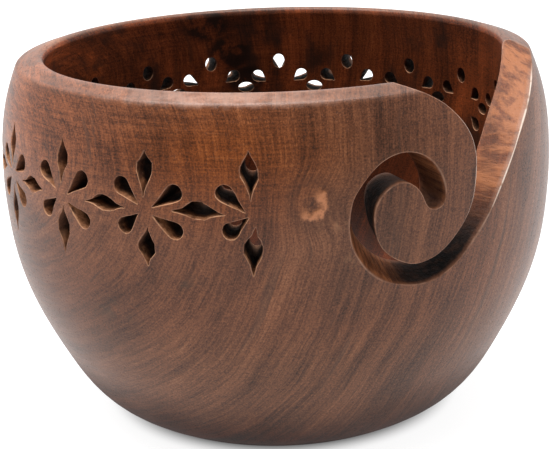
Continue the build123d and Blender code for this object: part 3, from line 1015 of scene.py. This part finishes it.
# pores, long along the trunk: dots on the front and back, dashes on the sides
pore_d, pore_c = g.cells(g.join(g.math("MULTIPLY", qx, 1.7), g.math("MULTIPLY", qy, 0.2),
                                g.math("MULTIPLY", qz, 1.45)))
pores = g.span(pore_d, 0.08, 0.38, 1.0, 0.0)
pores = g.math("MULTIPLY", pores, g.span(g.noise(P, 0.9, 2.0, 0.6), 0.40, 0.62, 0.15, 1.0))
speck = g.noise(g.join(g.math("MULTIPLY", px, 2.2), g.math("MULTIPLY", py, 0.5), g.math("MULTIPLY", pz, 2.2)),
                1.0, 2.0, 0.75)
cloud = g.noise(P, 0.045, 2.0, 0.5)

tone = g.math("MULTIPLY", g.math("SUBTRACT", broad, 0.5), 0.62)
tone = g.math("ADD", tone, g.math("MULTIPLY", g.math("SUBTRACT", streak, 0.5), 0.60))
tone = g.math("ADD", tone, g.math("MULTIPLY", g.math("SUBTRACT", g.span(fine, 0.34, 0.66), 0.5), 0.21))
tone = g.math("ADD", tone, g.math("MULTIPLY", g.math("SUBTRACT", hair, 0.5), 0.66))
upper = g.math("MULTIPLY", g.span(pz, 62.0, 86.0, 0.30, 1.0), g.span(px, 26.0, -8.0, 0.35, 1.0))
levels = g.math("ADD", g.math("MULTIPLY", g.math("SUBTRACT", level, 0.5), 0.75),
                g.math("MULTIPLY", g.math("SUBTRACT", level_fine, 0.5), 0.45))
tone = g.math("ADD", tone, g.math("MULTIPLY", levels, upper))
tone = g.math("ADD", tone, g.math("MULTIPLY", g.math("SUBTRACT", cloud, 0.5), 0.45))
tone = g.math("ADD", tone, g.math("MULTIPLY", g.math("SUBTRACT", speck, 0.5), 1.25))
# painted light: the first blob marks the lit upper front, lightened and warmed below
front_lit_warmth = g.blob(P, (-14.0, -70.0, 86.0), (44.0, 60.0, 24.0))
calm = g.blob(P, (-56.0, -40.0, 38.0), (44.0, 60.0, 42.0))
tone = g.math("MULTIPLY", tone, g.math("SUBTRACT", 1.0, g.math("MULTIPLY", calm, 0.45)))
tone = g.math("ADD", tone, g.math("MULTIPLY", calm, 0.05))
tone = g.math("ADD", g.math("ADD", tone, 0.47), g.math("MULTIPLY", front_lit_warmth, 0.07), clamp=True)
wood = g.ramp(tone, [
    (0.0, (0.028, 0.011, 0.0065)),
    (0.25, (0.073, 0.027, 0.0135)),
    (0.50, (0.131, 0.047, 0.0225)),
    (0.75, (0.196, 0.072, 0.033)),
    (1.0, (0.285, 0.116, 0.056)),
])
# painted light: the lit upper front is made lighter and more orange
orange = g.mix(1.0, wood, (1.18, 0.86, 0.42), "MULTIPLY")
wood = g.mix(g.math("MULTIPLY", front_lit_warmth, 0.95), wood, orange)
# painted light: the upper-left shoulder is lightened, as where the light from the upper left falls
shoulder_lit_paint = g.blob(P, (-62.0, -36.0, 92.0), (44.0, 60.0, 30.0))
wood = g.mix(g.math("MULTIPLY", shoulder_lit_paint, 0.9), wood, g.mix(1.0, wood, (1.75, 1.5, 1.25), "MULTIPLY"))
# greyer wood right of the front and low down
grey = g.math("MAXIMUM", g.blob(P, (22.0, -70.0, 72.0), (34.0, 60.0, 46.0)), g.span(pz, 52.0, 30.0))
wood = g.mix(g.math("MULTIPLY", grey, 0.75), wood, g.mix(1.0, wood, (0.90, 1.02, 1.10), "MULTIPLY"))
# dark mineral streaks that follow the rings
dark_line = g.span(rings(0.36, 0.007, 1.5, 88.0, 3.0, 0.6), 0.58, 0.66)
dark_line = g.math("MULTIPLY", dark_line, g.span(g.noise(P, 0.03, 1.0), 0.40, 0.62))
wood = g.mix(g.math("MULTIPLY", g.math("MULTIPLY", dark_line, 0.46), g.math("SUBTRACT", 1.0, g.math("MULTIPLY", calm, 0.6))), wood, (0.050, 0.030, 0.022))
# smudges
smudge = g.math("MAXIMUM", g.blob(P, (-42.0, -61.0, 47.0), (13.0, 16.0, 5.0)),
                g.blob(P, (-24.0, -70.0, 56.5), (8.0, 10.0, 4.5)))
smudge = g.math("MAXIMUM", smudge, g.blob(P, (-28.0, -66.0, 79.0), (6.0, 10.0, 5.0)))
smudge = g.math("MULTIPLY", smudge, g.span(g.noise(P, 0.22, 2.0, 0.6), 0.40, 0.62))
wood = g.mix(g.math("MULTIPLY", smudge, 0.55), wood, (0.045, 0.033, 0.022))
# pores darken, the hair-thin flecks between them lighten
wood = g.mix(g.math("MULTIPLY", pores, 0.42), wood, (0.030, 0.014, 0.010))
# the pin knot: a lighter, C-shaped callus round a dark eye
kx = g.math("SUBTRACT", px, KNOT[0])
kz = g.math("SUBTRACT", pz, KNOT[2])
front = g.span(py, -60.0, -66.0)
k_r = g.math("SQRT", g.math("ADD", g.math("MULTIPLY", kx, kx),
                            g.math("MULTIPLY", g.math("MULTIPLY", kz, kz), 0.75)))
k_r = g.math("ADD", k_r, g.math("MULTIPLY", g.math("SUBTRACT", g.noise(P, 0.55, 3.0, 0.6), 0.5), 3.2))
k_ring = g.math("MULTIPLY", g.span(k_r, 1.1, 2.2), g.span(k_r, 3.1, 4.0, 1.0, 0.0))
k_side = g.span(g.math("ADD", kx, g.math("MULTIPLY", kz, -0.8)), -2.2, 1.2)
k_ring = g.math("MULTIPLY", g.math("MULTIPLY", k_ring, k_side), front)
k_eye = g.math("MULTIPLY", g.span(k_r, 0.4, 2.4, 1.0, 0.0), front)
k_halo = g.math("MULTIPLY", g.math("MULTIPLY", g.span(k_r, 3.2, 4.4), g.span(k_r, 4.8, 7.5, 1.0, 0.0)), front)
wood = g.mix(g.math("MULTIPLY", k_halo, 0.35), wood, (0.045, 0.020, 0.012))
wood = g.mix(g.math("MULTIPLY", k_eye, g.span(g.noise(P, 1.1, 2.0), 0.42, 0.60, 0.25, 0.75)), wood,
             (0.050, 0.020, 0.012))
k_patch = g.math("MULTIPLY", k_ring, g.span(g.noise(P, 0.9, 3.0, 0.6), 0.36, 0.58, 0.45, 1.0))
wood = g.mix(k_patch, wood, (0.46, 0.185, 0.085))
spots = g.math("MAXIMUM", g.blob(P, (14.4, -74.6, 70.8), (2.6, 8.0, 2.0)),
               g.math("MULTIPLY", g.blob(P, (17.0, -73.8, 61.9), (2.6, 8.0, 2.8)), 0.75))
spots = g.math("MULTIPLY", spots, g.span(g.noise(P, 0.7, 2.0), 0.38, 0.6))
wood = g.mix(g.math("MULTIPLY", spots, 0.6), wood, (0.33, 0.16, 0.08))
# faint level scratches near the top
scratch = g.math("MULTIPLY", g.span(g.noise(g.join(g.math("MULTIPLY", px, 0.10), g.math("MULTIPLY", py, 0.10),
                                                    g.math("MULTIPLY", pz, 3.4)), 1.0, 1.0, 0.5), 0.66, 0.74),
                 g.blob(P, (-10.0, -72.0, 92.0), (26.0, 30.0, 10.0)))
wood = g.mix(g.math("MULTIPLY", scratch, 0.30), wood, (0.40, 0.22, 0.13))

# painted shade: the lowest part is darkened by its height, to match how dark the foot looks in the shade under the
# bowl's overhang; the lowest part is painted darker by its height, to match how dark the foot looks; the cause
# isn't known
foot_shade_paint = g.span(g.math("ADD", pz, g.math("MULTIPLY", g.math("SUBTRACT", g.noise(P, 0.05), 0.5), 8.0)), 4.0, 25.0,
                   1.0, 0.0)
wood = g.mix(foot_shade_paint, wood, g.mix(1.0, wood, (0.26, 0.13, 0.07), "MULTIPLY"))

# inside: darker, rougher, blotched with black
inner = g.mix(1.0, wood, (1.05, 0.66, 0.36), "MULTIPLY")
inner = g.mix(g.math("MULTIPLY", g.span(rings(0.11, 0.012, 1.6, 51.0, 3.0, 0.6), 0.46, 0.66), 0.55), inner,
              g.mix(1.0, inner, (2.1, 2.0, 1.9), "MULTIPLY"))
blotch = g.math("ADD", g.math("MULTIPLY", g.noise(P, 0.062, 3.0, 0.65), 0.6),
                g.math("MULTIPLY", rings(0.16, 0.02, 3.0, 29.0, 3.0, 0.6), 0.4))
blotch = g.math("MULTIPLY", g.span(blotch, 0.49, 0.64), g.span(pz, 30.0, 70.0, 0.3, 1.0))
inner = g.mix(g.math("MULTIPLY", blotch, 0.80), inner, (0.018, 0.010, 0.007))
black = g.math("MAXIMUM", g.blob(P, (-21.0, 61.0, 97.0), (11.0, 24.0, 8.0)),
               g.math("MAXIMUM", g.blob(P, (-14.0, 63.0, 87.0), (10.0, 24.0, 9.0)),
                      g.blob(P, (-9.0, 64.0, 78.0), (9.0, 24.0, 7.0))))
black = g.math("MULTIPLY", g.span(black, 0.05, 0.5), g.span(g.noise(P, 0.16, 3.0, 0.65), 0.36, 0.54))
inner = g.mix(g.math("MULTIPLY", black, 0.9), inner, (0.008, 0.0045, 0.003))
# painted shade: the inside is darkened further down towards its floor
deep_inside_shade = g.span(pz, 74.0, 40.0, 0.0, 0.70)
inner = g.mix(deep_inside_shade, inner, g.mix(1.0, inner, (0.30, 0.24, 0.20), "MULTIPLY"))
in_only = g.math("MULTIPLY", a_in, g.math("SUBTRACT", 1.0, a_cut))
wood = g.mix(in_only, wood, inner)

# sawn and filed faces: drier, more orange, with saw lines; the carved holes are scorched dark, and the slot's faces
# are darkened by scorch and painted shade
slant = g.math("ADD", g.math("MULTIPLY", pz, 0.80), g.math("MULTIPLY", g.math("ADD", px, py), -0.42))
lean = g.math("ADD", g.math("MULTIPLY", pz, 0.45), g.math("MULTIPLY", g.math("ADD", px, py), 0.62))
saw = g.noise(g.join(g.math("MULTIPLY", slant, 1.5), g.math("MULTIPLY", lean, 0.30), g.math("MULTIPLY", px, 0.10)),
              1.0, 4.0, 0.72)
saw = g.math("ADD", saw, g.math("MULTIPLY", g.math("SUBTRACT", g.noise(g.join(
    g.math("MULTIPLY", slant, 0.55), g.math("MULTIPLY", lean, 0.10), g.math("MULTIPLY", px, 0.05)), 1.0, 3.0, 0.6), 0.5), 1.0))
cut_col = g.mix(g.span(saw, 0.36, 0.64), g.mix(0.35, g.mix(1.0, wood, (0.72, 0.48, 0.30), "MULTIPLY"), (0.16, 0.052, 0.020)),
                g.mix(0.68, wood, (0.36, 0.125, 0.044)))
# near-black cut colour: scorch, and painted shade in the slot
scorch_shade_col = g.mix(g.span(g.noise(P, 0.55, 3.0, 0.6), 0.42, 0.68), (0.005, 0.0028, 0.002), (0.034, 0.013, 0.0065))
geo = tree.nodes.new("ShaderNodeNewGeometry")
_, _, facing_up = g.split(geo.outputs["Normal"])
# painted light: faces turned up inside the scorched holes get a lit orange-peach colour
lit_facet_col = g.mix(g.span(g.noise(P, 0.8, 3.0, 0.6), 0.35, 0.65), (0.30, 0.115, 0.045), (0.62, 0.28, 0.13))
lit = g.math("MULTIPLY", g.span(facing_up, 0.10, 0.55), g.span(g.noise(P, 0.33, 2.0, 0.5), 0.32, 0.54))
scorch_shade_col = g.mix(g.math("MULTIPLY", lit, g.math("MULTIPLY", g.span(a_scorch_shade, 0.86, 0.895), g.span(a_scorch_shade, 0.94, 1.0, 1.0, 0.1))),
              scorch_shade_col, lit_facet_col)
cut_col = g.mix(g.span(a_scorch_shade, 0.0, 0.82), cut_col, scorch_shade_col)
wood = g.mix(a_cut, wood, cut_col)

# painted highlight: the rim's top and outer lip made pale, strongest at the front where the light catches it
rim_highlight_paint = g.math("MULTIPLY", g.span(g.math("ADD", pz, g.math("MULTIPLY", g.noise(P, 0.5, 2.0, 0.6), 1.2)), 98.6, 100.2),
             g.math("SUBTRACT", 1.0, a_cut))
rim_highlight_paint = g.math("MULTIPLY", rim_highlight_paint, g.span(g.noise(P, 0.25, 3.0, 0.65), 0.34, 0.60, 0.35, 1.0))
rim_highlight_paint = g.math("MULTIPLY", rim_highlight_paint, g.math("MAXIMUM", g.blob(P, (-14.0, -68.0, 100.0), (46.0, 44.0, 30.0)), 0.22))
rim_highlight_paint = g.math("MULTIPLY", rim_highlight_paint, g.math("SUBTRACT", 1.0, g.math("MULTIPLY", a_in, 0.8)))
wood = g.mix(g.math("MULTIPLY", rim_highlight_paint, 0.58), wood, (0.40, 0.235, 0.175))

# rubbed edges, paler: partly wear, partly a painted highlight along the eased edges
edge_wear_and_highlight = g.math("MULTIPLY", a_edge, g.span(g.noise(P, 0.35, 2.0, 0.6), 0.30, 0.60, 0.25, 1.0))
wood = g.mix(g.math("MULTIPLY", edge_wear_and_highlight, 0.42), wood, (0.46, 0.25, 0.16))
# painted highlight: peach-coloured lips on the upward-facing lower edges of the pierced holes
hole_lip_highlight = g.math("MULTIPLY", g.math("MULTIPLY", a_edge, g.span(facing_up, 0.0, 0.45)), g.span(a_scorch_shade, 0.70, 0.88))
hole_lip_highlight = g.math("MULTIPLY", hole_lip_highlight, g.span(g.noise(P, 0.4, 2.0, 0.6), 0.34, 0.52, 0.15, 1.0))
wood = g.mix(g.math("MULTIPLY", hole_lip_highlight, 0.85), wood, (0.62, 0.32, 0.17))

# the one long edge that catches the light, on the bowl side of the hook's mouth
radius = g.math("SQRT", g.math("ADD", g.math("MULTIPLY", px, px), g.math("MULTIPLY", py, py)))
shine = g.math("MULTIPLY", g.math("MULTIPLY", a_edge, g.span(radius, 68.5, 71.5)), g.span(px, 43.0, 49.0))
shine = g.math("MULTIPLY", g.math("MULTIPLY", g.math("MULTIPLY", shine, g.span(pz, 64.0, 75.0, 0.12, 1.0)), g.span(py, -20.0, -28.0)), g.span(g.noise(P, 0.3, 2.0, 0.6), 0.30, 0.46, 0.3, 1.0))
wood = g.mix(g.math("MULTIPLY", shine, 0.85), wood, (0.80, 0.66, 0.56))
g.link(wood, bsdf.inputs["Base Color"])

rough_v = g.math("ADD", 0.36, g.math("MULTIPLY", g.math("SUBTRACT", level_fine, 0.5), 0.16))
rough_v = g.math("ADD", rough_v, g.math("MULTIPLY", pores, 0.18))
rough_v = g.math("ADD", rough_v, g.math("MULTIPLY", a_in, 0.16))
# the painted-shade mask of the foot also makes the foot rougher
rough_v = g.math("ADD", rough_v, g.math("MULTIPLY", foot_shade_paint, 0.35))
rough_v = g.math("ADD", rough_v, g.math("MULTIPLY", a_cut, 0.14))
rough_v = g.math("ADD", rough_v, g.math("MULTIPLY", a_scorch_shade, 0.30), clamp=True)
g.link(rough_v, bsdf.inputs["Roughness"])
bsdf.inputs["IOR"].default_value = 1.45
bsdf.inputs["Specular IOR Level"].default_value = 0.26

height = g.math("MULTIPLY", pores, -0.55)
height = g.math("ADD", height, g.math("MULTIPLY", fine, 0.25))
height = g.math("ADD", height, g.math("MULTIPLY", hair, 0.18))
height = g.math("ADD", height, g.math("MULTIPLY", level_fine, 0.22))
height = g.math("ADD", height, g.math("MULTIPLY", speck, 0.25))
height = g.math("ADD", height, g.math("MULTIPLY", g.math("MULTIPLY", k_ring, 1.0), 1.2))
height = g.math("ADD", height, g.math("MULTIPLY", g.math("MULTIPLY", saw, a_cut), 2.2))
char = g.noise(P, 0.9, 3.0, 0.7)
height = g.math("ADD", height, g.math("MULTIPLY", g.math("MULTIPLY", char, g.math("MULTIPLY", a_cut, a_scorch_shade)), 6.0))
bump = tree.nodes.new("ShaderNodeBump")
bump.inputs["Strength"].default_value = 0.60
bump.inputs["Distance"].default_value = 0.00016
g.link(height, bump.inputs["Height"])
g.link(bump.outputs[0], bsdf.inputs["Normal"])
mesh.materials.append(mat)

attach(obj, "root")
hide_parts("bowl")

# =====================================================================================
# Stage and light: a white sweep, white on all sides but for the dark room behind the camera
# =====================================================================================
world = bpy.data.worlds.new("studio")
world.use_nodes = True
scene.world = world
wt = world.node_tree
wg = Graph(wt)
direction = wt.nodes.new("ShaderNodeTexCoord").outputs["Generated"]
wx, wy, wz = wg.split(direction)
away = wg.span(wy, -0.80, -0.10, 0.05, 1.0)
wt.nodes["Background"].inputs[0].default_value = (1, 1, 1, 1)
wg.link(away, wt.nodes["Background"].inputs[1])

fm = bpy.data.meshes.new("floor")
fm.from_pydata([(-3, -3, 0), (3, -3, 0), (3, 3, 0), (-3, 3, 0)], [], [(0, 1, 2, 3)])
floor = bpy.data.objects.new("floor", fm)
scene.collection.objects.link(floor)
fmat = bpy.data.materials.new("floor")
fmat.use_nodes = True
f_bsdf = fmat.node_tree.nodes["Principled BSDF"]
f_bsdf.inputs["Base Color"].default_value = (0.32, 0.32, 0.32, 1)
f_bsdf.inputs["Roughness"].default_value = 0.9
f_bsdf.inputs["Specular IOR Level"].default_value = 0.1
f_bsdf.inputs["Emission Color"].default_value = (1, 1, 1, 1)
# a table lit from below, as for cut-out product pictures: it glows all round but under the foot, and the glow's fade
# just round the foot is a painted contact shadow
fg = Graph(fmat.node_tree)
spot = fmat.node_tree.nodes.new("ShaderNodeTexCoord").outputs["Object"]
reach = fg.vec("LENGTH", spot)
fg.link(fg.span(reach, 0.041, 0.052, 0.0, 0.90), f_bsdf.inputs["Emission Strength"])
fm.materials.append(fmat)


def area_light(name, loc, target, size, power, color=(1, 1, 1), glossy=True):
    d = bpy.data.lights.new(name, "AREA")
    d.shape = "RECTANGLE"
    d.size, d.size_y = size
    d.energy = power
    d.color = color
    o = bpy.data.objects.new(name, d)
    o.location = loc
    o.rotation_mode = "QUATERNION"
    o.rotation_quaternion = (Vector(target) - Vector(loc)).to_track_quat("-Z", "Y")
    o.visible_glossy = glossy
    scene.collection.objects.link(o)
    return o


area_light("top_box", (-0.15, 0.05, 1.25), (0, 0, 0.05), (1.1, 1.0), 28.0)
